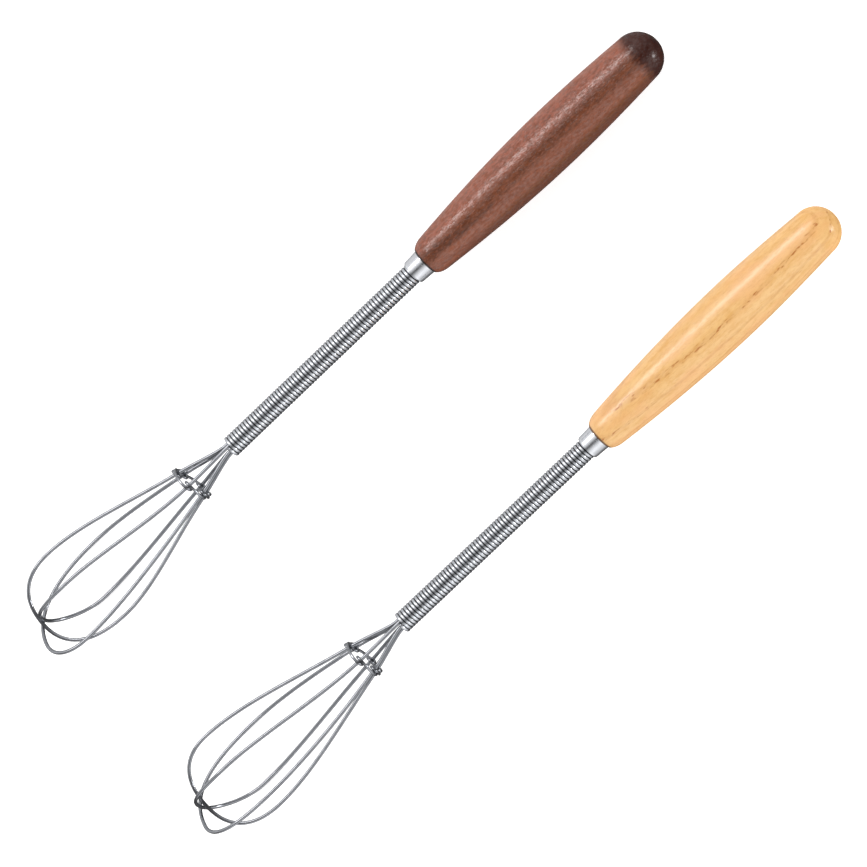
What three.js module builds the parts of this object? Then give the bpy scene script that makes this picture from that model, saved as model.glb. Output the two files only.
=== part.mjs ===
// Two small kitchen whisks of one product, one with a dark walnut handle and one with a light beech handle.
// Each whisk has a turned handle, a metal ferrule, a close-wound coil sleeve over the bundled legs of
// three loop wires, a core wire in the middle of that bundle, and a wire ring that spaces the legs.
// Millimetres, +Z up. The whisks lie side by side along X, butts toward +X, origin at the bottom centre.

import * as THREE from 'three';

// A whisk is drawn along its own X axis, with x = 0 where the wood begins and +x toward the butt.
const SOCKET_DEPTH = 8;
const SOCKET_RADIUS = 4.15;
const BORE_DEPTH = 30;
const BORE_RADIUS = 2.2;
const SHOULDER_X = 3.4;
const SHOULDER_RADIUS = 5.8;
const BUTT_FLAT_RADIUS = 1.5;

const FERRULE_FRONT_X = -4.85;
const FERRULE_TAIL_X = 7.6;
const FERRULE_LIP_LENGTH = 1.25;
const FERRULE_BORE_RADIUS = 3.27;
const FERRULE_LIP_RADIUS = 3.42;
const FERRULE_BODY_RADIUS = 3.75;
const FERRULE_ROOT_RADIUS = 3.95;
const TURNED_SIDES = 24;
const TURNED_CURVE_STEPS = 4;

const COIL_WIRE = 1.02;
const COIL_RADIUS = 2.68;
const COIL_PITCH = 1.06;
const COIL_TAIL_X = -1.69;
const COIL_STEPS_PER_TURN = 8;
const COIL_WIRE_SIDES = 4;

const LOOP_WIRE = 1.1;
const CORE_WIRE = 1;
const WIRE_SIDES = 6;
const LEG_END_X = 28;
const BUNDLE_RADIUS = 1.28;
const RING_LEG_RADIUS = 5;
const LEG_SPREAD = 0.22;

const RING_WIRE = 0.85;
const RING_WIRE_SIDES = 5;
const EYE_RADIUS = 1.25;
const EYE_RISE = 1;
const EYE_STEPS = 8;
const RING_ARC_STEPS = 3;
const RING_END_GAP = 3;

// How far the ends of each curved stretch of a leg pull on it, as shares of the stretch's length.
const FAN_BEND = 0.2;
const FAN_APPROACH = 0.4;
const BALLOON_SPRING = 0.35;
const BALLOON_SIDE = 0.29;
const FAN_STEPS = 5;
const SIDE_STEPS = 6;
const TIP_STEPS = 7;

const WHISK_SPACING = 69;
const LIGHT_WHISK_LEAD = 1.35;

const STEEL = { color: 0xc6c9cc, roughness: 0.24, metalness: 1 };
const WALNUT = { color: 0x6f4434, roughness: 0.38, metalness: 0 };
const BEECH = { color: 0xe2b06c, roughness: 0.36, metalness: 0 };

// Where a leg runs. bundle, ring and wide are its angles about the whisk's axis, in degrees with zero at the
// top: packed a sixth of a turn apart in the bundle, unevenly spread at the ring and at the widest point,
// which is widestAt past the ring and reach away from the axis. fullness is how squarely it then rounds
// the tip.
function leg(bundle, ring, wide, reach, widestAt, fullness) {
  return { bundle, ring, wide, reach, widestAt, fullness };
}

// A loop's length is from the ring to the apex, which stands apexReach off the axis, at apexAngle about it.
// ringShift moves the spacer ring toward the handle, and ringLean moves its +90 degree side further and its
// -90 degree side back.
const DARK_WHISK = {
  name: 'dark',
  wood: WALNUT,
  handle: { length: 89.85, bellyX: 51.3, bellyRadius: 8.46, domeRadius: 7.4 },
  coilTurns: 71,
  fanLength: 15.7,
  ringShift: 0.86,
  ringLean: 1.02,
  tilt: 1.18,
  loops: [
    {
      name: 'a',
      length: 58.4,
      apexAngle: 0,
      apexReach: 0,
      near: leg(90, 101, 87, 13.6, 38.6, 0.65),
      far: leg(-90, -93, -93, 14, 44, 0.65),
    },
    {
      name: 'b',
      length: 60.7,
      apexAngle: 46,
      apexReach: 6.5,
      near: leg(30, 60, 47, 15, 49, 0.65),
      far: leg(-150, -134, -147, 13.5, 34, 0.62),
    },
    {
      name: 'c',
      length: 57.1,
      apexAngle: -90,
      apexReach: 0.8,
      near: leg(-30, -4, -19, 13.2, 43, 0.65),
      far: leg(150, 153, 153.5, 13.5, 43, 0.48),
    },
  ],
};

const LIGHT_WHISK = {
  name: 'light',
  wood: BEECH,
  handle: { length: 90.75, bellyX: 52, bellyRadius: 8.4, domeRadius: 7.2 },
  coilTurns: 71.75,
  fanLength: 14.5,
  ringShift: 0.06,
  ringLean: 0.58,
  tilt: 1.38,
  loops: [
    {
      name: 'a',
      length: 62.3,
      apexAngle: 0,
      apexReach: 0,
      near: leg(90, 101, 88, 13.6, 46.5, 0.65),
      far: leg(-90, -92, -92, 14.8, 49, 0.65),
    },
    {
      name: 'b',
      length: 65.6,
      apexAngle: 40,
      apexReach: 5.4,
      near: leg(30, 60, 40, 14.3, 46, 0.7),
      far: leg(-150, -130, -146, 14.2, 38.5, 0.7),
    },
    {
      name: 'c',
      length: 63.55,
      apexAngle: -90,
      apexReach: 1,
      near: leg(-30, -6, -21, 14, 48, 0.65),
      far: leg(150, 156, 151, 14, 49, 0.48),
    },
  ],
};

// A path through given stations, equally far apart in its parameter whatever their spacing in space,
// so that a straight run needs two of them and a tight bend can have many.
class StationPath extends THREE.Curve {
  constructor(stations) {
    super();
    this.stations = stations;
  }

  getPoint(t, target = new THREE.Vector3()) {
    const last = this.stations.length - 1;
    const index = Math.min(Math.floor(t * last), last - 1);
    return target.lerpVectors(this.stations[index], this.stations[index + 1], t * last - index);
  }

  getUtoTmapping(u) {
    return u;
  }
}

function roundWire(stations, diameter, sides) {
  const corners = [];
  for (let i = 0; i < sides; i += 1) {
    const angle = 2 * Math.PI * i / sides;
    corners.push(new THREE.Vector2(Math.cos(angle), Math.sin(angle)).multiplyScalar(diameter / 2));
  }
  const section = new THREE.Shape(corners);
  const extrudePath = new StationPath(stations);
  return new THREE.ExtrudeGeometry(section, { steps: stations.length - 1, extrudePath });
}

// A body turned on the whisk's axis, from an outline whose points are (radius, x).
function turned(outline) {
  return new THREE.LatheGeometry(outline.getPoints(TURNED_CURVE_STEPS), TURNED_SIDES).rotateZ(-Math.PI / 2);
}

// The point at a given angle about the whisk's axis and distance from it.
function around(angleDegrees, radius, x) {
  const angle = THREE.MathUtils.degToRad(angleDegrees);
  return new THREE.Vector3(x, -radius * Math.sin(angle), radius * Math.cos(angle));
}

function coilMouthX(whisk) {
  return COIL_TAIL_X - COIL_PITCH * whisk.coilTurns - COIL_WIRE / 2;
}

function ringX(whisk) {
  return coilMouthX(whisk) - whisk.fanLength;
}

// Long barrel with a rounded front shoulder, a domed butt with a small turned flat, and a blind
// stepped bore: a socket for the ferrule, then a narrow bore for the wire bundle.
function handleGeometry({ length, bellyX, bellyRadius, domeRadius }) {
  const flatAngle = Math.acos(BUTT_FLAT_RADIUS / domeRadius);
  const domeX = length - domeRadius * Math.sin(flatAngle);
  const round = { startX: 0.5, startRadius: 4.9, endX: 1.8, endRadius: 5.6 };
  const taper = { startX: SHOULDER_X + 16, startRadius: 7.4, endX: bellyX - 16.4 };
  const fall = { startX: bellyX + 10.6, endX: domeX - 10, endRadius: domeRadius + 0.6 };
  const outline = new THREE.Path();
  outline.moveTo(0, BORE_DEPTH);
  outline.lineTo(BORE_RADIUS, BORE_DEPTH);
  outline.lineTo(BORE_RADIUS, SOCKET_DEPTH);
  outline.lineTo(SOCKET_RADIUS, SOCKET_DEPTH);
  outline.lineTo(SOCKET_RADIUS, 0);
  outline.bezierCurveTo(
    round.startRadius, round.startX, round.endRadius, round.endX, SHOULDER_RADIUS, SHOULDER_X,
  );
  outline.bezierCurveTo(taper.startRadius, taper.startX, bellyRadius, taper.endX, bellyRadius, bellyX);
  outline.bezierCurveTo(bellyRadius, fall.startX, fall.endRadius, fall.endX, domeRadius, domeX);
  outline.absarc(0, domeX, domeRadius, 0, flatAngle);
  outline.lineTo(0, length);
  return turned(outline);
}

// Collar with a rolled-in front lip; its plain tail stands in the handle's socket.
function ferruleGeometry() {
  const lipEndX = FERRULE_FRONT_X + FERRULE_LIP_LENGTH;
  const outline = new THREE.Path();
  outline.moveTo(FERRULE_BORE_RADIUS, FERRULE_FRONT_X);
  outline.lineTo(FERRULE_LIP_RADIUS, FERRULE_FRONT_X);
  outline.quadraticCurveTo(FERRULE_BODY_RADIUS, FERRULE_FRONT_X, FERRULE_BODY_RADIUS, lipEndX);
  outline.lineTo(FERRULE_ROOT_RADIUS, 0);
  outline.lineTo(FERRULE_ROOT_RADIUS, FERRULE_TAIL_X);
  outline.lineTo(FERRULE_BORE_RADIUS, FERRULE_TAIL_X);
  outline.lineTo(FERRULE_BORE_RADIUS, FERRULE_FRONT_X);
  return turned(outline);
}

// Right-hand helix from the fan to just inside the ferrule.
function coilGeometry(whisk) {
  const stations = [];
  const firstX = coilMouthX(whisk) + COIL_WIRE / 2;
  for (let step = 0; step <= whisk.coilTurns * COIL_STEPS_PER_TURN; step += 1) {
    const turn = step / COIL_STEPS_PER_TURN;
    stations.push(around(360 * turn, COIL_RADIUS, firstX + COIL_PITCH * turn));
  }
  return roundWire(stations, COIL_WIRE, COIL_WIRE_SIDES);
}

function coreWireGeometry(whisk) {
  const stations = [around(0, 0, coilMouthX(whisk)), around(0, 0, LEG_END_X)];
  return roundWire(stations, CORE_WIRE, WIRE_SIDES);
}

// One leg of a loop wire, from its end in the handle through the coil and out along the fan to the ring.
function legStations(whisk, { bundle, ring }) {
  const mouthX = coilMouthX(whisk);
  const reach = FAN_APPROACH * whisk.fanLength;
  const fan = new THREE.CubicBezierCurve3(
    around(bundle, BUNDLE_RADIUS, mouthX),
    around(bundle, BUNDLE_RADIUS, mouthX - FAN_BEND * whisk.fanLength),
    around(ring, RING_LEG_RADIUS - LEG_SPREAD * reach, ringX(whisk) + reach),
    around(ring, RING_LEG_RADIUS, ringX(whisk)),
  );
  return [around(bundle, BUNDLE_RADIUS, LEG_END_X), ...fan.getPoints(FAN_STEPS)];
}

// One side of a loop's balloon, from the ring out to its widest point and round to the apex.
// across is the direction of the wire over the apex, pointing to this side.
function balloonStations(whisk, loop, { ring, wide, reach, widestAt, fullness }, across) {
  const startX = ringX(whisk);
  const widestX = startX - widestAt;
  const spring = BALLOON_SPRING * widestAt;
  const widest = around(wide, reach, widestX);
  const apex = around(loop.apexAngle, loop.apexReach, startX - loop.length);
  const sideReach = widest.clone().sub(apex).dot(across);
  const toWidest = new THREE.CubicBezierCurve3(
    around(ring, RING_LEG_RADIUS, startX),
    around(ring, RING_LEG_RADIUS + LEG_SPREAD * spring, startX - spring),
    widest.clone().setX(widestX + BALLOON_SIDE * widestAt),
    widest,
  );
  const toApex = new THREE.CubicBezierCurve3(
    widest,
    widest.clone().setX(widestX + fullness * (apex.x - widestX)),
    apex.clone().addScaledVector(across, fullness * sideReach),
    apex,
  );
  return [...toWidest.getPoints(SIDE_STEPS).slice(1), ...toApex.getPoints(TIP_STEPS).slice(1)];
}

// One wire: up the near leg, round the balloon and back down the far leg.
function loopWireGeometry(whisk, loop) {
  const { near, far } = loop;
  const across = around(near.wide, near.reach, 0).sub(around(far.wide, far.reach, 0)).normalize();
  const nearSide = balloonStations(whisk, loop, near, across);
  const farSide = balloonStations(whisk, loop, far, across.clone().negate());
  const farBack = [...legStations(whisk, far), ...farSide.slice(0, -1)].reverse();
  return roundWire([...legStations(whisk, near), ...nearSide, ...farBack], LOOP_WIRE, WIRE_SIDES);
}

// A point of the spacer ring: rise is toward the handle from the ring's plane, radial and tangential are
// from the leg at that angle, outward and onward round the ring.
function ringStation(whisk, angle, rise, radial, tangential) {
  const lean = whisk.ringLean * Math.sin(THREE.MathUtils.degToRad(angle));
  const climb = whisk.ringShift + lean + rise;
  const station = around(angle, RING_LEG_RADIUS - LEG_SPREAD * climb + radial, ringX(whisk) + climb);
  return station.addScaledVector(around(angle + 90, 1, 0), tangential);
}

// The ring wire's curl round one leg: from the outer side, round the inside and back, one rise further on.
function eyeStations(whisk, angle) {
  const stations = [];
  for (let step = 0; step <= EYE_STEPS; step += 1) {
    const share = step / EYE_STEPS;
    const swing = 2 * Math.PI * share;
    const radial = EYE_RADIUS * Math.cos(swing);
    stations.push(ringStation(whisk, angle, EYE_RISE * (share - 0.5), radial, EYE_RADIUS * Math.sin(swing)));
  }
  return stations;
}

// The ring wire between two curls, outside the legs, dropping back by one rise as it goes.
function ringArcStations(whisk, from, to) {
  const stations = [];
  for (let step = 1; step < RING_ARC_STEPS; step += 1) {
    const share = step / RING_ARC_STEPS;
    stations.push(ringStation(whisk, from + share * (to - from), EYE_RISE * (0.5 - share), EYE_RADIUS, 0));
  }
  return stations;
}

// One wire that curls once round each leg; its two ends meet at the underside.
function spacerRingGeometry(whisk) {
  const angles = whisk.loops.flatMap((loop) => [loop.near.ring, loop.far.ring]).sort((a, b) => a - b);
  const stations = [ringStation(whisk, RING_END_GAP - 180, 0, EYE_RADIUS, 0)];
  angles.forEach((angle, index) => {
    stations.push(...eyeStations(whisk, angle));
    if (index < angles.length - 1) {
      stations.push(...ringArcStations(whisk, angle, angles[index + 1]));
    }
  });
  stations.push(ringStation(whisk, 180 - RING_END_GAP, 0, EYE_RADIUS, 0));
  return roundWire(stations, RING_WIRE, RING_WIRE_SIDES);
}

function whiskGroup(whisk) {
  const group = new THREE.Group();
  const add = (name, geometry, look) => {
    const mesh = new THREE.Mesh(geometry, new THREE.MeshStandardMaterial(look));
    mesh.name = `${whisk.name}_${name}`;
    group.add(mesh);
  };
  add('handle', handleGeometry(whisk.handle), whisk.wood);
  add('ferrule', ferruleGeometry(), STEEL);
  add('coil_sleeve', coilGeometry(whisk), STEEL);
  add('core_wire', coreWireGeometry(whisk), STEEL);
  add('spacer_ring', spacerRingGeometry(whisk), STEEL);
  for (const loop of whisk.loops) {
    add(`loop_wire_${loop.name}`, loopWireGeometry(whisk, loop), STEEL);
  }
  return group;
}

// Lays a whisk down: its axis drops toward the butt, so that the balloon and the handle both rest at z = 0.
function laidDown(whisk, x, y) {
  const group = whiskGroup(whisk);
  group.rotation.y = THREE.MathUtils.degToRad(whisk.tilt);
  group.updateMatrixWorld(true);
  const lowest = new THREE.Box3().setFromObject(group, true).min.z;
  group.position.set(x, y, -lowest);
  return group;
}

const pair = new THREE.Group();
pair.add(laidDown(DARK_WHISK, 0, WHISK_SPACING / 2));
pair.add(laidDown(LIGHT_WHISK, LIGHT_WHISK_LEAD, -WHISK_SPACING / 2));
pair.updateMatrixWorld(true);

const middle = new THREE.Box3().setFromObject(pair, true).getCenter(new THREE.Vector3());
pair.position.set(-middle.x, -middle.y, 0);

export default pair;
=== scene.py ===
"""Two small kitchen whisks lying side by side, one with a walnut handle and one with a beech handle.

Each whisk is drawn in its own frame, in millimetres: x = 0 where the wood begins and +x toward the
butt. Its pieces are then laid, in metres, where the CAD's straight core wire says the whisk lies.
"""

from math import acos, cos, pi, radians, sin

import bmesh
import bpy
from mathutils import Matrix, Vector
from mathutils.geometry import interpolate_bezier


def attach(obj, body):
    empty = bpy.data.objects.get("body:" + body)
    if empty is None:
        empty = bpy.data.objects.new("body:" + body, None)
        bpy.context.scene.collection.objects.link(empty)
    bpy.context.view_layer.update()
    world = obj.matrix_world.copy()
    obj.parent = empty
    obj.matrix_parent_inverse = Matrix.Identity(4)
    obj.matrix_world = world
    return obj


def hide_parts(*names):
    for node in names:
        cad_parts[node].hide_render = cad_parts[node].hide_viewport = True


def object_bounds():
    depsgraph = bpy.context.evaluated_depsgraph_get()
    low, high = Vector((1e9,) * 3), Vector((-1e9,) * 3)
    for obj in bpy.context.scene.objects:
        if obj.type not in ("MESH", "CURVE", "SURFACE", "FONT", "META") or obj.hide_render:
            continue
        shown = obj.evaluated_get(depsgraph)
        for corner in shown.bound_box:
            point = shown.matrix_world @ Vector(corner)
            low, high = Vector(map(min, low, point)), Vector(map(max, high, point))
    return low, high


MM = 0.001
PLACE = "whisk_place"

# Handle and ferrule, from the wood's front.
SOCKET_DEPTH = 8
SOCKET_RADIUS = 4.15
BORE_DEPTH = 30
BORE_RADIUS = 2.2
SHOULDER_X = 3.4
SHOULDER_RADIUS = 5.8
BUTT_FLAT_RADIUS = 1.5
SOCKET_CHAMFER_LENGTH = 0.15
SOCKET_CHAMFER_WIDTH = 0.12
FERRULE_FRONT_X = -4.85
FERRULE_TAIL_X = 7.6
FERRULE_ROLL_LENGTH = 1.25
FERRULE_ROLL_END_RADIUS = 3.42
FERRULE_LIP = 0.16
FERRULE_BORE_RADIUS = 3.27
FERRULE_BODY_RADIUS = 3.75
FERRULE_ROOT_RADIUS = 3.95
TURNED_SIDES = 96

# Coil neck, wire bundle and fan.
COIL_WIRE = 1.02
COIL_RADIUS = 2.68
COIL_PITCH = 1.06
COIL_TAIL_X = -1.69
COIL_STEPS_PER_TURN = 36
COIL_WIRE_SIDES = 10
LEG_END_X = 28
BUNDLE_RADIUS = 1.28
LOOP_WIRE = 1.1
CORE_WIRE = 1
WIRE_SIDES = 16
RING_LEG_RADIUS = 5
LEG_SPREAD = 0.22

# How far the ends of each curved stretch of a leg pull on it, as shares of the stretch's length.
FAN_BEND = 0.2
FAN_APPROACH = 0.4
BALLOON_SPRING = 0.35
BALLOON_SIDE = 0.29

# How many steps each curved stretch of a leg is drawn in.
FAN_STEPS = 18
SIDE_STEPS = 30
TIP_STEPS = 36

# Spacer ring.
RING_WIRE = 0.85
RING_WIRE_SIDES = 12
EYE_RADIUS = 1.25
EYE_RISE = 1
EYE_STEPS = 28
RING_ARC_STEPS = 10
RING_END_GAP = 3

# Every mesh: edges sharper than this many degrees stay sharp, a wire's nose is this share of its
# radius long, and points this near, in metres, are one.
SMOOTH_ANGLE = 40
NOSE_STEPS = 3
NOSE_LENGTH = 0.35
MERGE_DISTANCE = 1e-6


def leg(bundle, ring, wide, reach, widest_at, fullness):
    """Where a leg runs: its angles in the bundle, at the ring and where it is widest, how far from
    the axis and how far past the ring that is, and how squarely it then rounds the tip."""
    return {
        "bundle": bundle,
        "ring": ring,
        "wide": wide,
        "reach": reach,
        "widest_at": widest_at,
        "fullness": fullness,
    }


DARK_WHISK = {
    "name": "dark",
    "handle": {"length": 89.85, "belly_x": 51.3, "belly_radius": 8.46, "dome_radius": 7.4},
    "coil_turns": 71,
    "fan_length": 15.7,
    "ring_shift": 0.86,
    "ring_lean": 1.02,
    "loops": [
        {
            "name": "a",
            "length": 58.4,
            "apex_angle": 0,
            "apex_reach": 0,
            "near": leg(90, 101, 87, 13.6, 38.6, 0.65),
            "far": leg(-90, -93, -93, 14, 44, 0.65),
        },
        {
            "name": "b",
            "length": 60.7,
            "apex_angle": 46,
            "apex_reach": 6.5,
            "near": leg(30, 60, 47, 15, 49, 0.65),
            "far": leg(-150, -134, -147, 13.5, 34, 0.62),
        },
        {
            "name": "c",
            "length": 57.1,
            "apex_angle": -90,
            "apex_reach": 0.8,
            "near": leg(-30, -4, -19, 13.2, 43, 0.65),
            "far": leg(150, 153, 153.5, 13.5, 43, 0.48),
        },
    ],
}

LIGHT_WHISK = {
    "name": "light",
    "handle": {"length": 90.75, "belly_x": 52, "belly_radius": 8.4, "dome_radius": 7.2},
    "coil_turns": 71.75,
    "fan_length": 14.5,
    "ring_shift": 0.06,
    "ring_lean": 0.58,
    "loops": [
        {
            "name": "a",
            "length": 62.3,
            "apex_angle": 0,
            "apex_reach": 0,
            "near": leg(90, 101, 88, 13.6, 46.5, 0.65),
            "far": leg(-90, -92, -92, 14.8, 49, 0.65),
        },
        {
            "name": "b",
            "length": 65.6,
            "apex_angle": 40,
            "apex_reach": 5.4,
            "near": leg(30, 60, 40, 14.3, 46, 0.7),
            "far": leg(-150, -130, -146, 14.2, 38.5, 0.7),
        },
        {
            "name": "c",
            "length": 63.55,
            "apex_angle": -90,
            "apex_reach": 1,
            "near": leg(-30, -6, -21, 14, 48, 0.65),
            "far": leg(150, 156, 151, 14, 49, 0.48),
        },
    ],
}


# ---------------------------------------------------------------- points and paths


def around(angle_degrees, radius, x):
    """The point at an angle about the whisk's axis and a distance from it; zero is the top."""
    angle = radians(angle_degrees)
    return Vector((x, -radius * sin(angle), radius * cos(angle)))


def bezier(start, start_handle, end_handle, end, steps):
    """Points along a cubic curve, without its first one, so that stretches can be chained."""
    return interpolate_bezier(start, start_handle, end_handle, end, steps + 1)[1:]


def outline_bezier(start, start_handle, end_handle, end, steps):
    """The same for an outline, whose points are (x, radius) pairs."""
    knots = [Vector((x, radius, 0)) for x, radius in (start, start_handle, end_handle, end)]
    return [(point.x, point.y) for point in bezier(*knots, steps)]


def outline_arc(centre, radius, from_angle, to_angle, steps):
    """An arc of an outline, without its first point; an angle of zero points away from the axis."""
    points = []
    for step in range(1, steps + 1):
        angle = from_angle + (to_angle - from_angle) * step / steps
        points.append((centre[0] + radius * sin(angle), centre[1] + radius * cos(angle)))
    return points


# ---------------------------------------------------------------- meshes


def skin(name, rings):
    """A closed piece from rings of points. Rings that shrink to a point close its ends. Each
    vertex also stores where it is in the whisk's own frame, in millimetres, for the materials."""
    mesh = bpy.data.meshes.new(name)
    work = bmesh.new()
    uv_layer = work.loops.layers.uv.new("UVMap")
    grid = [[work.verts.new(point * MM) for point in ring] for ring in rings]
    sides = len(rings[0])
    for row in range(len(grid) - 1):
        for side in range(sides):
            corners = (
                (row, side),
                (row, side + 1),
                (row + 1, side + 1),
                (row + 1, side),
            )
            face = work.faces.new([grid[r][s % sides] for r, s in corners])
            for loop, (r, s) in zip(face.loops, corners):
                loop[uv_layer].uv = (r / (len(grid) - 1), s / sides)
    bmesh.ops.remove_doubles(work, verts=work.verts, dist=MERGE_DISTANCE)
    bmesh.ops.recalc_face_normals(work, faces=work.faces)
    work.to_mesh(mesh)
    work.free()
    for polygon in mesh.polygons:
        polygon.use_smooth = True
    mesh.set_sharp_from_angle(angle=radians(SMOOTH_ANGLE))
    place = mesh.attributes.new(PLACE, "FLOAT_VECTOR", "POINT")
    for vertex, stored in zip(mesh.vertices, place.data):
        stored.vector = vertex.co / MM
    piece = bpy.data.objects.new(name, mesh)
    bpy.context.scene.collection.objects.link(piece)
    return piece


def turned(name, outline):
    """A piece turned on the whisk's axis, from an outline of (x, radius) pairs."""
    angles = [360 * side / TURNED_SIDES for side in range(TURNED_SIDES)]
    return skin(name, [[around(angle, radius, x) for angle in angles] for x, radius in outline])


def tangents(path):
    """The direction of a path at each of its points."""
    last = len(path) - 1
    return [(path[min(i + 1, last)] - path[max(i - 1, 0)]).normalized() for i in range(last + 1)]


def wire(name, path, diameter, sides):
    """A round wire along a path, with a small rounded nose at each cut end."""
    radius = diameter / 2
    angles = [2 * pi * side / sides for side in range(sides)]
    directions = tangents(path)
    across = directions[0].orthogonal().normalized()
    rings = []

    def ring(centre, direction, size):
        up = direction.cross(across)
        return [centre + size * (cos(angle) * across + sin(angle) * up) for angle in angles]

    def nose(centre, direction, outward):
        for step in range(1, NOSE_STEPS + 1):
            angle = pi / 2 * step / NOSE_STEPS
            tip = centre + outward * direction * (NOSE_LENGTH * radius * sin(angle))
            yield ring(tip, direction, radius * cos(angle))

    rings.extend(reversed(list(nose(path[0], directions[0], -1))))
    for centre, direction in zip(path, directions):
        across = (across - direction * across.dot(direction)).normalized()
        rings.append(ring(centre, direction, radius))
    rings.extend(nose(path[-1], directions[-1], 1))
    return skin(name, rings)


# ---------------------------------------------------------------- the whisk's pieces


def coil_mouth_x(whisk):
    return COIL_TAIL_X - COIL_PITCH * whisk["coil_turns"] - COIL_WIRE / 2


def ring_x(whisk):
    return coil_mouth_x(whisk) - whisk["fan_length"]


def handle(whisk):
    """Long barrel with a rounded front shoulder and a domed butt, bored for the ferrule and wires."""
    size = whisk["handle"]
    belly = (size["belly_x"], size["belly_radius"])
    flat_angle = acos(BUTT_FLAT_RADIUS / size["dome_radius"])
    dome_x = size["length"] - size["dome_radius"] * sin(flat_angle)
    dome_start = (dome_x, size["dome_radius"])
    shoulder = (SHOULDER_X, SHOULDER_RADIUS)
    outline = [
        (BORE_DEPTH, 0),
        (BORE_DEPTH, BORE_RADIUS),
        (SOCKET_DEPTH, BORE_RADIUS),
        (SOCKET_DEPTH, SOCKET_RADIUS),
        (SOCKET_CHAMFER_LENGTH, SOCKET_RADIUS),
        (0, SOCKET_RADIUS + SOCKET_CHAMFER_WIDTH),
    ]
    outline += outline_bezier(outline[-1], (0.5, 4.95), (1.8, 5.6), shoulder, 12)
    outline += outline_bezier(shoulder, (19.4, 7.4), (belly[0] - 16.4, belly[1]), belly, 36)
    outline += outline_bezier(
        belly, (belly[0] + 10.6, belly[1]), (dome_x - 10, dome_start[1] + 0.6), dome_start, 28
    )
    outline += outline_arc((dome_x, 0), size["dome_radius"], 0, flat_angle, 24)
    outline.append((size["length"], 0))
    return turned(f"{whisk['name']}_wood_handle", outline)


def ferrule(whisk):
    """Polished collar with a rolled-in front lip; its plain tail stands in the handle's socket."""
    roll_end = (FERRULE_FRONT_X + FERRULE_ROLL_LENGTH, FERRULE_BODY_RADIUS)
    lip = (FERRULE_FRONT_X, FERRULE_ROLL_END_RADIUS)
    outline = [(FERRULE_TAIL_X, FERRULE_BORE_RADIUS), (FERRULE_TAIL_X, FERRULE_ROOT_RADIUS)]
    outline.append((0, FERRULE_ROOT_RADIUS))
    outline.append(roll_end)
    outline += outline_bezier(
        roll_end, (FERRULE_FRONT_X + 0.4, FERRULE_BODY_RADIUS), (FERRULE_FRONT_X, 3.62), lip, 12
    )
    outline += outline_bezier(
        lip,
        (FERRULE_FRONT_X, FERRULE_BORE_RADIUS + 0.05),
        (FERRULE_FRONT_X, FERRULE_BORE_RADIUS),
        (FERRULE_FRONT_X + FERRULE_LIP, FERRULE_BORE_RADIUS),
        5,
    )
    outline.append(outline[0])
    return turned(f"{whisk['name']}_collar", outline)


def coil_sleeve(whisk):
    """Close-wound right-hand helix from the fan to just inside the ferrule."""
    first_x = coil_mouth_x(whisk) + COIL_WIRE / 2
    path = []
    for step in range(int(whisk["coil_turns"] * COIL_STEPS_PER_TURN) + 1):
        turn = step / COIL_STEPS_PER_TURN
        path.append(around(360 * turn, COIL_RADIUS, first_x + COIL_PITCH * turn))
    return wire(f"{whisk['name']}_coil_neck", path, COIL_WIRE, COIL_WIRE_SIDES)


def core_wire(whisk):
    """Straight wire in the middle of the bundle."""
    path = [around(0, 0, coil_mouth_x(whisk)), around(0, 0, LEG_END_X)]
    return wire(f"{whisk['name']}_core", path, CORE_WIRE, WIRE_SIDES)


def leg_path(whisk, this_leg):
    """A leg from its end in the handle, through the coil and out along the fan to the ring."""
    fan = whisk["fan_length"]
    bundle, ring = this_leg["bundle"], this_leg["ring"]
    end = around(bundle, BUNDLE_RADIUS, LEG_END_X)
    mouth = around(bundle, BUNDLE_RADIUS, coil_mouth_x(whisk))
    bend = around(bundle, BUNDLE_RADIUS, coil_mouth_x(whisk) - FAN_BEND * fan)
    run_in = FAN_APPROACH * fan
    approach = around(ring, RING_LEG_RADIUS - LEG_SPREAD * run_in, ring_x(whisk) + run_in)
    at_ring = around(ring, RING_LEG_RADIUS, ring_x(whisk))
    return [end, mouth] + bezier(mouth, bend, approach, at_ring, FAN_STEPS)


def balloon_path(whisk, loop, this_leg, across):
    """One side of a loop's balloon, from the ring out to its widest point and round to the apex."""
    start_x = ring_x(whisk)
    widest_at, fullness = this_leg["widest_at"], this_leg["fullness"]
    spring = BALLOON_SPRING * widest_at
    start = around(this_leg["ring"], RING_LEG_RADIUS, start_x)
    spread = around(this_leg["ring"], RING_LEG_RADIUS + LEG_SPREAD * spring, start_x - spring)
    widest = around(this_leg["wide"], this_leg["reach"], start_x - widest_at)
    before_widest = widest + Vector((BALLOON_SIDE * widest_at, 0, 0))
    apex = around(loop["apex_angle"], loop["apex_reach"], start_x - loop["length"])
    after_widest = widest + Vector((fullness * (apex.x - widest.x), 0, 0))
    before_apex = apex + across * (fullness * (widest - apex).dot(across))
    path = bezier(start, spread, before_widest, widest, SIDE_STEPS)
    return path + bezier(widest, after_widest, before_apex, apex, TIP_STEPS)


def loop_wire(whisk, loop):
    """One wire: up the near leg, round the balloon and back down the far leg."""
    near, far = loop["near"], loop["far"]
    across = around(near["wide"], near["reach"], 0) - around(far["wide"], far["reach"], 0)
    across.normalize()
    path = leg_path(whisk, near) + balloon_path(whisk, loop, near, across)
    far_side = leg_path(whisk, far) + balloon_path(whisk, loop, far, -across)[:-1]
    path += reversed(far_side)
    return wire(f"{whisk['name']}_whisk_wire_{loop['name']}", path, LOOP_WIRE, WIRE_SIDES)


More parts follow.
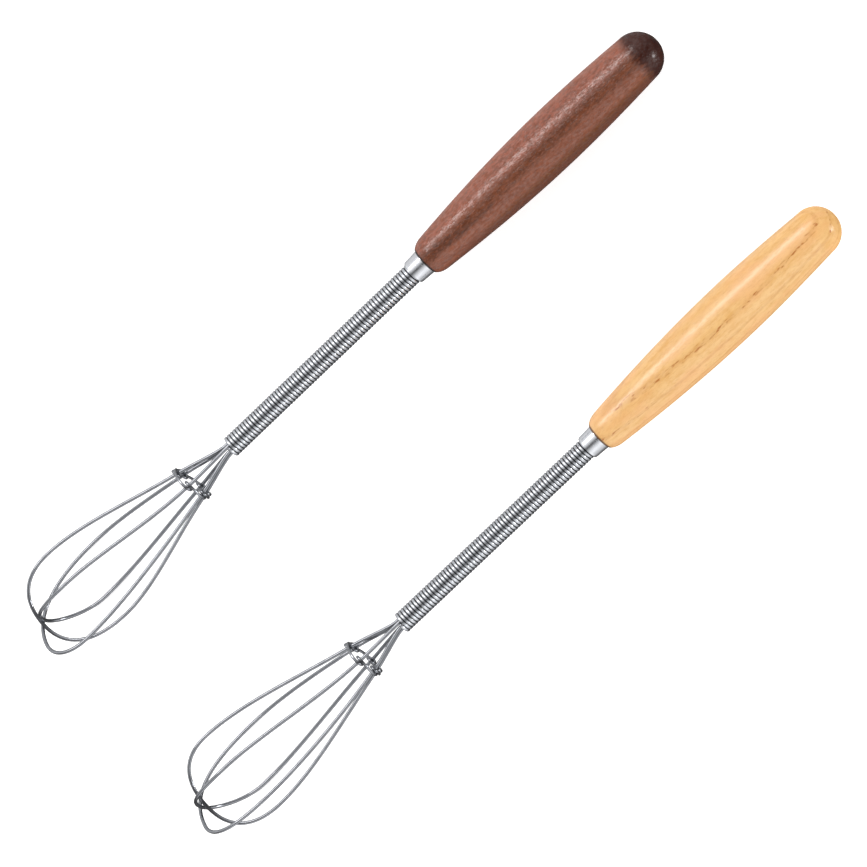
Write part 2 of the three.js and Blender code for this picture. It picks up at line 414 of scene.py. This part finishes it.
def ring_point(whisk, angle, rise, radial, tangential=0):
    """A point of the leaning spacer ring: rise is toward the handle from the ring's own plane,
    radial and tangential are from the leg at that angle, outward and onward round the ring."""
    climb = whisk["ring_shift"] + whisk["ring_lean"] * sin(radians(angle)) + rise
    point = around(angle, RING_LEG_RADIUS - LEG_SPREAD * climb + radial, ring_x(whisk) + climb)
    return point + around(angle + 90, 1, 0) * tangential


def eye_path(whisk, angle):
    """The ring wire's curl round one leg, from the outer side round the inside and back to it."""
    path = []
    for step in range(EYE_STEPS + 1):
        share = step / EYE_STEPS
        swing = 2 * pi * share
        rise = EYE_RISE * (share - 0.5)
        path.append(
            ring_point(whisk, angle, rise, EYE_RADIUS * cos(swing), EYE_RADIUS * sin(swing))
        )
    return path


def ring_arc_path(whisk, start, end, start_rise, end_rise):
    """The ring wire between two angles, outside the legs, without either end."""
    path = []
    for step in range(1, RING_ARC_STEPS):
        share = step / RING_ARC_STEPS
        angle = start + share * (end - start)
        ease = share * share * (3 - 2 * share)
        rise = start_rise + ease * (end_rise - start_rise)
        path.append(ring_point(whisk, angle, rise, EYE_RADIUS))
    return path


def spacer_ring(whisk):
    """One wire that curls once round each leg; its two ends nearly meet at the underside."""
    angles = sorted(loop[side]["ring"] for loop in whisk["loops"] for side in ("near", "far"))
    first, last = RING_END_GAP - 180, 180 - RING_END_GAP
    half = EYE_RISE / 2
    path = [ring_point(whisk, first, 0, EYE_RADIUS)]
    path += ring_arc_path(whisk, first, angles[0], 0, -half)
    for angle, following in zip(angles, angles[1:] + [None]):
        path += eye_path(whisk, angle)
        if following is not None:
            path += ring_arc_path(whisk, angle, following, half, -half)
    path += ring_arc_path(whisk, angles[-1], last, half, 0)
    path.append(ring_point(whisk, last, 0, EYE_RADIUS))
    return wire(f"{whisk['name']}_ring", path, RING_WIRE, RING_WIRE_SIDES)


# ---------------------------------------------------------------- material building blocks


class Shader:
    """A material being built: small helpers that add a node and give back its output."""

    def __init__(self, name):
        self.material = bpy.data.materials.new(name)
        self.material.use_nodes = True
        self.tree = self.material.node_tree
        self.surface = self.tree.nodes["Principled BSDF"]

    def node(self, kind, inputs, **settings):
        new = self.tree.nodes.new(kind)
        for key, value in settings.items():
            setattr(new, key, value)
        for key, value in inputs.items():
            self.feed(new.inputs[key], value)
        return new

    def feed(self, socket, value):
        """Links an output to a socket, or sets the socket's own value."""
        if isinstance(value, bpy.types.NodeSocket):
            self.tree.links.new(value, socket)
        else:
            socket.default_value = value

    def set(self, **inputs):
        """Sets or links inputs of the surface shader, named with underscores for spaces."""
        for key, value in inputs.items():
            self.feed(self.surface.inputs[key.replace("_", " ").title().replace("Ior", "IOR")], value)

    def place(self):
        """Where a point is in the whisk's own frame, in millimetres, as its mesh stores it."""
        return self.node("ShaderNodeAttribute", {}, attribute_name=PLACE).outputs["Vector"]

    def stretch(self, vector, scale):
        mapping = self.node("ShaderNodeMapping", {"Vector": vector, "Scale": scale})
        return mapping.outputs["Vector"]

    def offset(self, vector, by):
        mapping = self.node("ShaderNodeMapping", {"Vector": vector, "Location": by})
        return mapping.outputs["Vector"]

    def off_axis(self, y, z):
        """The distance of (y, z) from the line where both are zero."""
        squared = self.math("MULTIPLY_ADD", y, y, self.math("MULTIPLY", z, z))
        return self.math("SQRT", squared)

    def noise(self, vector, cell, detail=3, roughness=0.55):
        """Noise whose cells measure cell = (x, y, z), in the units of the vector."""
        inputs = {
            "Vector": self.stretch(vector, tuple(1 / side for side in cell)),
            "Scale": 1,
            "Detail": detail,
            "Roughness": roughness,
        }
        return self.node("ShaderNodeTexNoise", inputs).outputs["Fac"]

    def math(self, operation, *values):
        inputs = dict(enumerate(values))
        return self.node("ShaderNodeMath", inputs, operation=operation).outputs[0]

    def remap(self, value, low, high, to_low=0.0, to_high=1.0):
        """value from low..high to to_low..to_high, smoothly and never past either end."""
        inputs = {
            "Value": value,
            "From Min": low,
            "From Max": high,
            "To Min": to_low,
            "To Max": to_high,
        }
        new = self.node("ShaderNodeMapRange", inputs, interpolation_type="SMOOTHSTEP")
        return new.outputs["Result"]

    def mix(self, factor, first, second):
        """The first colour at a factor of zero, the second at one."""
        new = self.node("ShaderNodeMix", {}, data_type="RGBA")
        self.feed(new.inputs["Factor"], factor)
        self.feed(new.inputs[6], first)
        self.feed(new.inputs[7], second)
        return new.outputs[2]

    def split(self, vector):
        return self.node("ShaderNodeSeparateXYZ", {"Vector": vector}).outputs

    def bump(self, height, distance, strength):
        """A bump whose full height is distance millimetres."""
        inputs = {"Height": height, "Distance": distance * MM, "Strength": strength}
        return self.node("ShaderNodeBump", inputs).outputs["Normal"]

    def growth_rings(self, place, pith, spacing, wander):
        """Growth rings about a pith line beside the handle, 0 in early wood to 1 in late wood."""
        bend = self.noise(place, (38, 9, 9), detail=2)
        _, y, z = self.split(self.offset(place, (0, -pith[0], -pith[1])))
        distance = self.math("MULTIPLY_ADD", bend, wander, self.off_axis(y, z))
        wave = self.math("SINE", self.math("MULTIPLY", distance, 2 * pi / spacing))
        return self.math("MULTIPLY_ADD", wave, 0.5, 0.5)


def linear(red, green, blue):
    """A colour given as 8-bit sRGB, as the linear colour that a shader takes."""
    channels = []
    for value in (red, green, blue):
        share = value / 255
        channels.append(share / 12.92 if share <= 0.04045 else ((share + 0.055) / 1.055) ** 2.4)
    return (*channels, 1)


# ---------------------------------------------------------------- materials


def walnut():
    """Reddish dark walnut under a semi-gloss varnish that leaves the pores open."""
    shader = Shader("walnut_varnished")
    place = shader.place()
    rings = shader.growth_rings(place, pith=(-11, -17), spacing=2.9, wander=2.4)
    streaks = shader.noise(place, (7, 0.8, 0.8), detail=3)
    mottle = shader.noise(place, (1.8, 0.9, 0.9), detail=4, roughness=0.7)
    cloud = shader.noise(place, (16, 5, 5), detail=2)
    flecks = shader.remap(shader.noise(place, (1.1, 0.45, 0.45), detail=2), 0.5, 0.68)
    pores = shader.remap(shader.noise(place, (1.9, 0.3, 0.3), detail=2), 0.55, 0.66)

    brown, red_brown = linear(80, 42, 25), linear(112, 63, 41)
    dark, rosy, painted_light_red = linear(52, 26, 16), linear(158, 92, 72), linear(156, 86, 58)
    tone = shader.math("MULTIPLY_ADD", streaks, 0.4, shader.math("MULTIPLY", rings, 0.2))
    tone = shader.math("MULTIPLY_ADD", mottle, 0.9, tone)
    color = shader.mix(shader.remap(tone, 0.5, 1.0), red_brown, brown)
    color = shader.mix(shader.remap(cloud, 0.45, 0.7, 0, 0.15), color, dark)
    color = shader.mix(shader.math("MULTIPLY", flecks, 0.22), color, rosy)
    color = shader.mix(shader.math("MULTIPLY", pores, 0.4), color, dark)

    # Painted light and shade: a rosy sheen is painted on the +y flank, a redder light on the -y side
    # and shade in brown on the far -y flank. The butt is dark end grain; the dark line at the seam is
    # painted shade.
    x, y, _ = shader.split(place)
    grain = shader.remap(mottle, 0.36, 0.64, 0.25, 1)
    painted_sheen_side = shader.math("MULTIPLY", shader.remap(y, 0.6, 3.4, 0, 0.7), grain)
    color = shader.mix(painted_sheen_side, color, rosy)
    color = shader.mix(shader.remap(y, -1.2, -2.6, 0, 0.32), color, painted_light_red)
    color = shader.mix(shader.remap(y, -4.4, -6.5, 0, 0.7), color, brown)
    end_grain = shader.remap(shader.math("MULTIPLY_ADD", mottle, 5, x), 83, 87)
    color = shader.mix(shader.math("MULTIPLY", end_grain, 0.9), color, linear(42, 13, 9))
    # Painted shade: a dark line where the wood meets the collar.
    color = shader.mix(shader.remap(x, 0.35, 0.8, 1, 0), color, linear(40, 22, 14))

    height = shader.math("SUBTRACT", flecks, shader.math("MULTIPLY", pores, 1.5))
    relief = shader.bump(shader.math("ADD", height, mottle), 0.024, strength=0.7)
    sheen = shader.remap(shader.noise(place, (1.4, 0.6, 0.6), detail=2), 0.38, 0.6, 0.4, 1)
    shader.set(
        base_color=color,
        roughness=0.6,
        specular_ior_level=0.02,
        normal=relief,
        coat_normal=relief,
        coat_weight=shader.math("MULTIPLY", sheen, shader.remap(end_grain, 0, 1, 1, 0.6)),
        coat_roughness=0.17,
        coat_ior=1.6,
    )
    return shader.material


def beech():
    """Honey-coloured beech under a glossy varnish, with brown flecks along its growth rings."""
    shader = Shader("beech_varnished")
    place = shader.place()
    rings = shader.growth_rings(place, pith=(-13, -14), spacing=3.12, wander=0.6)
    streaks = shader.noise(place, (14, 1.1, 1.1), detail=3)
    mottle = shader.noise(place, (3.4, 1.3, 1.3), detail=3, roughness=0.65)
    cloud = shader.noise(place, (18, 6, 6), detail=2)
    flecks = shader.remap(shader.noise(place, (2.4, 0.7, 0.7), detail=1), 0.5, 0.7)
    pores = shader.remap(shader.noise(place, (1.2, 0.25, 0.25), detail=2), 0.55, 0.68)

    honey, deep_honey = linear(225, 181, 119), linear(214, 163, 96)
    rosy, fleck_brown = linear(227, 171, 115), linear(172, 108, 54)
    tone = shader.math("MULTIPLY_ADD", streaks, 0.5, shader.math("MULTIPLY", mottle, 0.7))
    color = shader.mix(shader.remap(tone, 0.45, 0.8), honey, deep_honey)
    color = shader.mix(shader.remap(cloud, 0.42, 0.65, 0, 0.55), color, rosy)
    color = shader.mix(shader.math("MULTIPLY", pores, 0.18), color, fleck_brown)
    ring_line = shader.remap(rings, 0.8, 1.0)
    color = shader.mix(shader.math("MULTIPLY", ring_line, 0.16), color, fleck_brown)

    # Flecks mark the growth rings along the top and fade on both flanks.
    x, y, _ = shader.split(place)
    marked = shader.math("MULTIPLY", shader.remap(y, -4, -2.5), shader.remap(y, 3.6, 2.2))
    marks = shader.math("MULTIPLY", ring_line, shader.remap(marked, 0, 1, 0.15, 1))
    color = shader.mix(shader.math("MULTIPLY", flecks, marks), color, fleck_brown)

    end_grain = shader.remap(x, 84, 92)
    color = shader.mix(shader.math("MULTIPLY", end_grain, 0.35), color, deep_honey)
    # Painted shade: a dark line where the wood meets the collar.
    color = shader.mix(shader.remap(x, 0.35, 0.8, 0.9, 0), color, linear(84, 50, 26))

    relief = shader.bump(shader.math("SUBTRACT", mottle, pores), 0.022, strength=0.6)
    shader.set(
        base_color=color,
        roughness=0.6,
        specular_ior_level=0.02,
        normal=relief,
        coat_normal=relief,
        coat_weight=shader.remap(x, 82.5, 84.5, 1.0, 0.5),
        coat_roughness=0.24,
        coat_ior=1.6,
    )
    return shader.material


def polished_steel():
    """Bright collar, turned and polished, with faint lathe lines, smudges and painted shade at its
    seam with the wood.
    """
    shader = Shader("steel_polished")
    place = shader.place()
    lathe_lines = shader.noise(place, (0.06, 8, 8), detail=3)
    smudges = shader.noise(place, (2.2, 1.8, 1.8), detail=3)
    scuffs = shader.remap(shader.noise(place, (0.25, 1.4, 0.25), detail=1), 0.68, 0.74)
    x, _, _ = shader.split(place)
    bright = shader.mix(smudges, linear(216, 218, 222), linear(204, 206, 211))
    roughness = shader.remap(smudges, 0.35, 0.7, 0.16, 0.26)
    # Painted shade: the collar's colour darkens toward its seam with the wood.
    shader.set(
        base_color=shader.mix(shader.remap(x, -0.25, -0.05, 0, 0.85), bright, linear(70, 62, 56)),
        metallic=1.0,
        roughness=shader.math("MULTIPLY_ADD", scuffs, 0.2, roughness),
        normal=shader.bump(lathe_lines, 0.002, strength=0.5),
    )
    return shader.material


def spring_steel():
    """Bright spring wire, darker with painted shade in the grooves between the turns."""
    shader = Shader("steel_spring_wire")
    place = shader.place()
    _, y, z = shader.split(place)
    from_axis = shader.off_axis(y, z)
    # Painted shade: the wire turns dark toward the coil's axis, in the grooves between the turns.
    crown_clear_of_groove_shade = shader.remap(from_axis, COIL_RADIUS + 0.05, COIL_RADIUS + COIL_WIRE / 2 - 0.06)
    blotches = shader.noise(place, (5, 1.5, 1.5), detail=3)
    draw_lines = shader.noise(place, (0.07, 2.5, 2.5), detail=2)
    bright = shader.mix(blotches, linear(204, 206, 211), linear(184, 187, 192))
    shader.set(
        base_color=shader.mix(crown_clear_of_groove_shade, linear(96, 97, 100), bright),
        metallic=1.0,
        roughness=shader.remap(blotches, 0.3, 0.7, 0.16, 0.28),
        normal=shader.bump(draw_lines, 0.004, strength=0.4),
    )
    return shader.material


def drawn_wire():
    """Wire of the loops, core and ring, greyer than the coil, with die lines and dull patches."""
    shader = Shader("steel_drawn_wire")
    place = shader.place()
    patches = shader.noise(place, (4, 2, 2), detail=3)
    die_lines = shader.noise(place, (6, 0.09, 0.09), detail=2)
    shader.set(
        base_color=shader.mix(patches, linear(164, 166, 171), linear(120, 123, 128)),
        metallic=1.0,
        roughness=shader.remap(patches, 0.35, 0.7, 0.08, 0.18),
        normal=shader.bump(die_lines, 0.004, strength=0.4),
    )
    return shader.material


def pale_floor():
    """Plain matt white board that glows a little, so that shadows on it stay faint."""
    shader = Shader("floor_white")
    place = shader.node("ShaderNodeTexCoord", {}).outputs["Object"]
    mottle = shader.noise(place, (0.06, 0.06, 0.06), detail=2)
    shader.set(
        base_color=shader.mix(mottle, (0.9, 0.9, 0.9, 1), (0.88, 0.88, 0.88, 1)),
        roughness=0.85,
        specular_ior_level=0.2,
        emission_color=(1, 1, 1, 1),
        emission_strength=0.45,
    )
    return shader.material


# ---------------------------------------------------------------- the pair of whisks


def whisk_frame(whisk):
    """Where the CAD lays a whisk, read from its straight core wire: X along the wire, Y level."""
    name = f"{whisk['name']}_core_wire"
    corners = {tuple(round(c, 6) for c in v.co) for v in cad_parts[name].data.vertices}
    corners = [Vector(corner) for corner in sorted(corners)]
    half = len(corners) // 2
    front = sum(corners[:half], Vector()) / half
    back = sum(corners[half:], Vector()) / half
    along = (back - front).normalized()
    level = Vector((0, 1, 0))
    axes = Matrix((along, level, along.cross(level))).transposed()
    return Matrix.Translation(back - along * LEG_END_X * MM) @ axes.to_4x4()


def dress(piece, whisk, node, slot, material, placement):
    """Lays a finished piece where its CAD node is, in place of that node, which it hides."""
    piece.data.materials.append(material)
    piece.data.transform(placement)
    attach(piece, f"{whisk['name']}_whisk")
    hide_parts(f"{whisk['name']}_{node}")


def build_whisk(whisk, wood_slot, wood, metals):
    placement = whisk_frame(whisk)
    collar_steel, coil_steel, wire_steel = metals
    pieces = [
        (handle(whisk), "handle", wood_slot, wood),
        (ferrule(whisk), "ferrule", "polished_steel", collar_steel),
        (coil_sleeve(whisk), "coil_sleeve", "spring_steel", coil_steel),
        (core_wire(whisk), "core_wire", "wire_steel", wire_steel),
        (spacer_ring(whisk), "spacer_ring", "wire_steel", wire_steel),
    ]
    for loop in whisk["loops"]:
        pieces.append((loop_wire(whisk, loop), f"loop_wire_{loop['name']}", "wire_steel", wire_steel))
    for piece, node, slot, material in pieces:
        dress(piece, whisk, node, slot, material, placement)


# ---------------------------------------------------------------- stage, light and camera

# In metres, but for the lens, which is in millimetres.
FLOOR_WIDTH = 6
LAMP_DISTANCE = 1
CAMERA_DISTANCE = 2.0255
CAMERA_LENS = 300
CENTRING = Vector((0.0003, -0.0022, -0.0036))


def floor():
    """A wide pale floor under the whisks, kept out of the metal's reflections."""
    half = FLOOR_WIDTH / 2
    mesh = bpy.data.meshes.new("floor")
    corners = [(-half, -half, 0), (half, -half, 0), (half, half, 0), (-half, half, 0)]
    mesh.from_pydata(corners, [], [(0, 1, 2, 3)])
    mesh.materials.append(pale_floor())
    board = bpy.data.objects.new("floor", mesh)
    bpy.context.scene.collection.objects.link(board)
    board.visible_glossy = False


def aimed(location, target, along=Vector((1, 0, 0))):
    """A placement at location that looks at target, with its X axis as near along as can be."""
    back = (location - target).normalized()
    right = (along - back * along.dot(back)).normalized()
    axes = Matrix((right, back.cross(right), back)).transposed()
    return Matrix.Translation(location) @ axes.to_4x4()


def direction(from_top, towards):
    """A unit vector from_top degrees off the vertical; towards is a bearing, 0 for +X, 90 for +Y."""
    tilt, bearing = radians(from_top), radians(towards)
    return Vector((sin(tilt) * cos(bearing), sin(tilt) * sin(bearing), cos(tilt)))


def softbox(name, from_top, towards, size, power, color=(1, 1, 1)):
    """An area lamp that the camera doesn't see, aimed at the origin from the given direction."""
    light = bpy.data.lights.new(name, "AREA")
    light.shape = "RECTANGLE"
    light.size, light.size_y = size
    light.energy = power
    light.color = color
    lamp = bpy.data.objects.new(name, light)
    bpy.context.scene.collection.objects.link(lamp)
    lamp.matrix_world = aimed(LAMP_DISTANCE * direction(from_top, towards), Vector((0, 0, 0)))
    lamp.visible_camera = False
    return lamp


def shade_ramp(tree, across, shades):
    """Light by direction, from (y component of the direction, radiance up to 2) pairs."""
    ramp = tree.nodes.new("ShaderNodeValToRGB")
    stops = ramp.color_ramp.elements
    for side, shade in shades:
        stops.new((side + 1) / 2).color = (shade / 2, shade / 2, shade / 2, 1)
    stops.remove(stops[0])
    stops.remove(stops[-1])
    tree.links.new(across, ramp.inputs["Fac"])
    return ramp.outputs["Color"]


def studio_world():
    """A room lit from the whisks' two sides only, so that polished metal shows a dark line along
    its top; below the horizon it is dim, and dimmer on the light whisk's side."""
    above = (
        (-0.999, 0.6), (-0.95, 1.15), (-0.8, 1.5), (-0.55, 1.1), (-0.3, 0.6), (-0.07, 0.14),
        (0.05, 0.14), (0.28, 0.7), (0.5, 1.2), (0.82, 1.2), (0.95, 1.0), (0.999, 0.85),
    )
    below = ((-0.999, 0.3), (-0.5, 0.12), (0, 0.12), (0.5, 0.6), (0.999, 0.95))
    world = bpy.data.worlds.new("studio")
    world.use_nodes = True
    tree = world.node_tree
    split = tree.nodes.new("ShaderNodeSeparateXYZ")
    coordinates = tree.nodes.new("ShaderNodeTexCoord")
    tree.links.new(coordinates.outputs["Generated"], split.inputs[0])

    across = tree.nodes.new("ShaderNodeMapRange")
    across.inputs["From Min"].default_value = -1
    tree.links.new(split.outputs["Y"], across.inputs["Value"])
    height = tree.nodes.new("ShaderNodeMapRange")
    height.interpolation_type = "SMOOTHSTEP"
    height.inputs["From Min"].default_value = -0.5
    height.inputs["From Max"].default_value = 0
    tree.links.new(split.outputs["Z"], height.inputs["Value"])

    mix = tree.nodes.new("ShaderNodeMix")
    mix.data_type = "RGBA"
    tree.links.new(height.outputs["Result"], mix.inputs["Factor"])
    tree.links.new(shade_ramp(tree, across.outputs["Result"], below), mix.inputs[6])
    tree.links.new(shade_ramp(tree, across.outputs["Result"], above), mix.inputs[7])
    tree.links.new(mix.outputs[2], tree.nodes["Background"].inputs["Color"])
    tree.nodes["Background"].inputs["Strength"].default_value = 2
    bpy.context.scene.world = world


def lights():
    """A strip for the long highlights, a small lamp for the spots on the butts, which adds only
    glints, and a fill that adds none and lifts the side away from the strip."""
    softbox("dark_side_strip", 50, 90, (1, 0.3), 5, (1, 0.96, 0.95))
    softbox("butt_lamp", 84, -29, (0.2, 0.2), 2.6).visible_diffuse = False
    softbox("light_side_fill", 55, -72, (0.5, 0.4), 3.1).visible_glossy = False


def camera():
    """Looks down from a little beyond the butts; the whisks run from lower left to upper right."""
    tilt, sideways, rise = radians(12), radians(1), radians(43.5)
    view = Vector((sin(tilt), cos(tilt) * sin(sideways), cos(tilt) * cos(sideways)))
    low, high = cad_box
    target = (low + high) / 2 + CENTRING
    along = (Vector((1, 0, 0)) - view * view.x).normalized()
    right = cos(rise) * along - sin(rise) * view.cross(along)
    eye = bpy.data.cameras.new("camera")
    eye.lens = CAMERA_LENS
    eye.clip_start = 0.05
    holder = bpy.data.objects.new("camera", eye)
    bpy.context.scene.collection.objects.link(holder)
    holder.matrix_world = aimed(target + CAMERA_DISTANCE * view, target, right)
    bpy.context.scene.camera = holder


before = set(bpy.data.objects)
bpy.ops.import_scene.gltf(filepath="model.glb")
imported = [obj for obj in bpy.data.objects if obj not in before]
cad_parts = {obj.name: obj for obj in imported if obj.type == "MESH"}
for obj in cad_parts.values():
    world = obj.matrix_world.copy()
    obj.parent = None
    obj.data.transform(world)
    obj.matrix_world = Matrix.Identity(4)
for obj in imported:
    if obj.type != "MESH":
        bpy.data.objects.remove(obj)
cad_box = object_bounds()

metals = (polished_steel(), spring_steel(), drawn_wire())
build_whisk(DARK_WHISK, "walnut", walnut(), metals)
build_whisk(LIGHT_WHISK, "beech", beech(), metals)

floor()
studio_world()
lights()
camera()
bpy.context.scene.view_settings.view_transform = "Standard"
